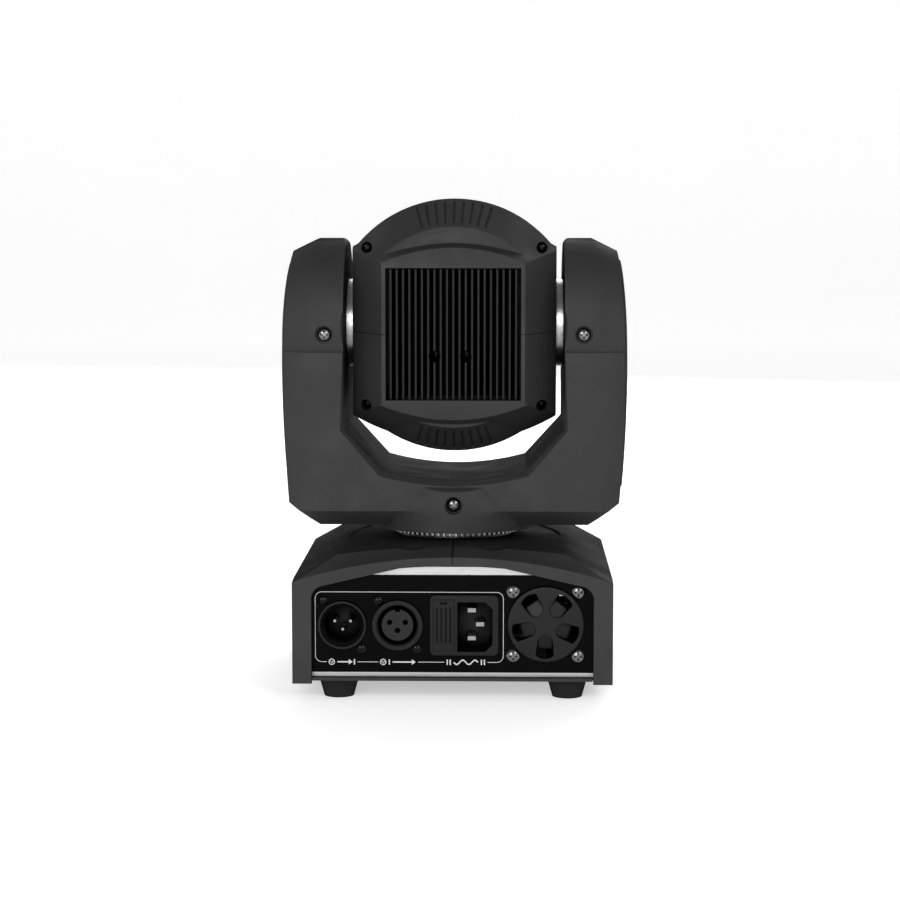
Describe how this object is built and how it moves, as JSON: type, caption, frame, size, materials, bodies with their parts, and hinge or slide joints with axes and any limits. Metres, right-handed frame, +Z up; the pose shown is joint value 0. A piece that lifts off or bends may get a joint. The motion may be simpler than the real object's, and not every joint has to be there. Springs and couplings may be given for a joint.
{
  "type": "moving head light",
  "caption": "Compact stage light: a finned spotlight head that tilts between the arms of a yoke, which pans on a base with data sockets, mains inlet, fan, display and keys.",
  "frame": {"origin": "centre of the footprint at floor level, on the pan axis", "axes": "+Z up along the pan axis; -Y towards the lens and the display; +Y towards the sockets; +X along the tilt axis"},
  "size_m": [0.175, 0.155, 0.2473],
  "materials": {
    "shell_plastic": "fine textured black ABS, matt",
    "panel_plastic": "glossy black overlay with white print",
    "socket_plastic": "smooth black engineering plastic, satin",
    "insert_plastic": "dark grey moulded insert",
    "fan_plastic": "black fan plastic, satin",
    "button_plastic": "dark grey key caps, satin",
    "painted_steel": "black powder coat",
    "bare_steel": "zinc plated sheet steel",
    "contact_metal": "nickel plated contacts",
    "bright_screw": "nickel plated screw",
    "dark_screw": "black oxide screw",
    "foot_rubber": "black rubber",
    "belt_rubber": "black neoprene belt",
    "window_tint": "red tinted acrylic",
    "fuse_glass": "clear glass fuse",
    "board_laminate": "green circuit board",
    "component_plastic": "component cases",
    "sink_anodised": "black anodised aluminium",
    "bright_aluminium": "machined aluminium",
    "motor_metal": "dark painted motor can",
    "bearing_steel": "ground bearing steel",
    "lens_glass": "coated optical glass",
    "gobo_metal": "blackened steel disc"
  },
  "bodies": {
    "base": {"base_plate": "painted_steel", "base_shell_left": "shell_plastic", "base_shell_right": "shell_plastic", "base_screws": "dark_screw", "rubber_feet": "foot_rubber", "chassis_bridge": "bare_steel", "rear_chassis_plate": "bare_steel", "rear_overlay_panel": "panel_plastic", "dmx_in_socket": "socket_plastic", "dmx_in_pins": "contact_metal", "dmx_out_socket": "socket_plastic", "dmx_out_insert": "insert_plastic", "socket_screws": "dark_screw", "power_inlet": "socket_plastic", "power_inlet_blades": "contact_metal", "fan_grille": "fan_plastic", "fan_frame": "fan_plastic", "fan_screws": "bright_screw", "front_panel": "panel_plastic", "display_window": "window_tint", "display_board": "board_laminate", "power_supply_board": "board_laminate", "power_supply_parts": "component_plastic", "control_board": "board_laminate", "pan_pulley": "bright_aluminium"},
    "fan_rotor": {"fan_impeller": "fan_plastic"},
    "drawer": {"fuse_drawer": "socket_plastic", "fuse": "fuse_glass"},
    "menu_key": {"button_menu": "button_plastic"},
    "down_key": {"button_down": "button_plastic"},
    "up_key": {"button_up": "button_plastic"},
    "enter_key": {"button_enter": "button_plastic"},
    "yoke": {"yoke_frame": "bare_steel", "yoke_shell_rear": "shell_plastic", "yoke_shell_front": "shell_plastic", "yoke_screws": "bright_screw", "arm_cover_right": "shell_plastic", "arm_cover_left": "shell_plastic", "pan_bearing": "bearing_steel", "pan_belt": "belt_rubber", "pan_motor": "motor_metal", "tilt_bearings": "bearing_steel", "tilt_motor": "motor_metal", "tilt_belt": "belt_rubber"},
    "pan_rotor": {"pan_motor_pulley": "bright_aluminium"},
    "tilt_rotor": {"tilt_motor_pulley": "bright_aluminium"},
    "head": {"tilt_hubs": "bright_aluminium", "tilt_pulley": "bright_aluminium", "head_shell_upper": "shell_plastic", "head_shell_lower": "shell_plastic", "front_bezel": "shell_plastic", "heatsink": "sink_anodised", "head_screws": "dark_screw", "led_board": "board_laminate", "led_lens": "lens_glass", "optics_plate": "painted_steel", "gobo_motor": "motor_metal"},
    "gobo": {"gobo_wheel": "gobo_metal"},
    "focus": {"focus_barrel": "fan_plastic", "front_lens": "lens_glass"}
  },
  "joints": [
    {"name": "pan", "type": "hinge", "parent": "base", "child": "yoke", "pos_m": [0, 0, 0.08], "axis": [0, 0, 1], "range_deg": [-270, 270]},
    {"name": "tilt", "type": "hinge", "parent": "yoke", "child": "head", "pos_m": [0, 0, 0.1834], "axis": [-1, 0, 0], "range_deg": [-25, 205]},
    {"name": "pan_motor_spin", "type": "hinge", "parent": "yoke", "child": "pan_rotor", "pos_m": [0.057, 0, 0.09], "axis": [0, 0, 1], "range_deg": [-1300, 1300]},
    {"name": "tilt_motor_spin", "type": "hinge", "parent": "yoke", "child": "tilt_rotor", "pos_m": [-0.077, 0, 0.124], "axis": [-1, 0, 0], "range_deg": [-95, 770]},
    {"name": "fan_spin", "type": "hinge", "parent": "base", "child": "fan_rotor", "pos_m": [-0.046, 0.066, 0.0387], "axis": [0, 1, 0], "continuous": true},
    {"name": "gobo_spin", "type": "hinge", "parent": "head", "child": "gobo", "pos_m": [0, 0.008, 0.1594], "axis": [0, 1, 0], "continuous": true},
    {"name": "focus_slide", "type": "slide", "parent": "head", "child": "focus", "axis": [0, -1, 0], "range_m": [0, 0.005]},
    {"name": "fuse_drawer_slide", "type": "slide", "parent": "base", "child": "drawer", "axis": [0, 1, 0], "range_m": [0, 0.018]},
    {"name": "menu_press", "type": "slide", "parent": "base", "child": "menu_key", "axis": [0, 1, 0], "range_m": [0, 0.0008], "stiffness_N_per_m": 400},
    {"name": "down_press", "type": "slide", "parent": "base", "child": "down_key", "axis": [0, 1, 0], "range_m": [0, 0.0008], "stiffness_N_per_m": 400},
    {"name": "up_press", "type": "slide", "parent": "base", "child": "up_key", "axis": [0, 1, 0], "range_m": [0, 0.0008], "stiffness_N_per_m": 400},
    {"name": "enter_press", "type": "slide", "parent": "base", "child": "enter_key", "axis": [0, 1, 0], "range_m": [0, 0.0008], "stiffness_N_per_m": 400}
  ],
  "couplings": [
    {"joint": "pan_motor_spin", "follows": "pan", "ratio": -4.8},
    {"joint": "tilt_motor_spin", "follows": "tilt", "ratio": 3.75}
  ]
}
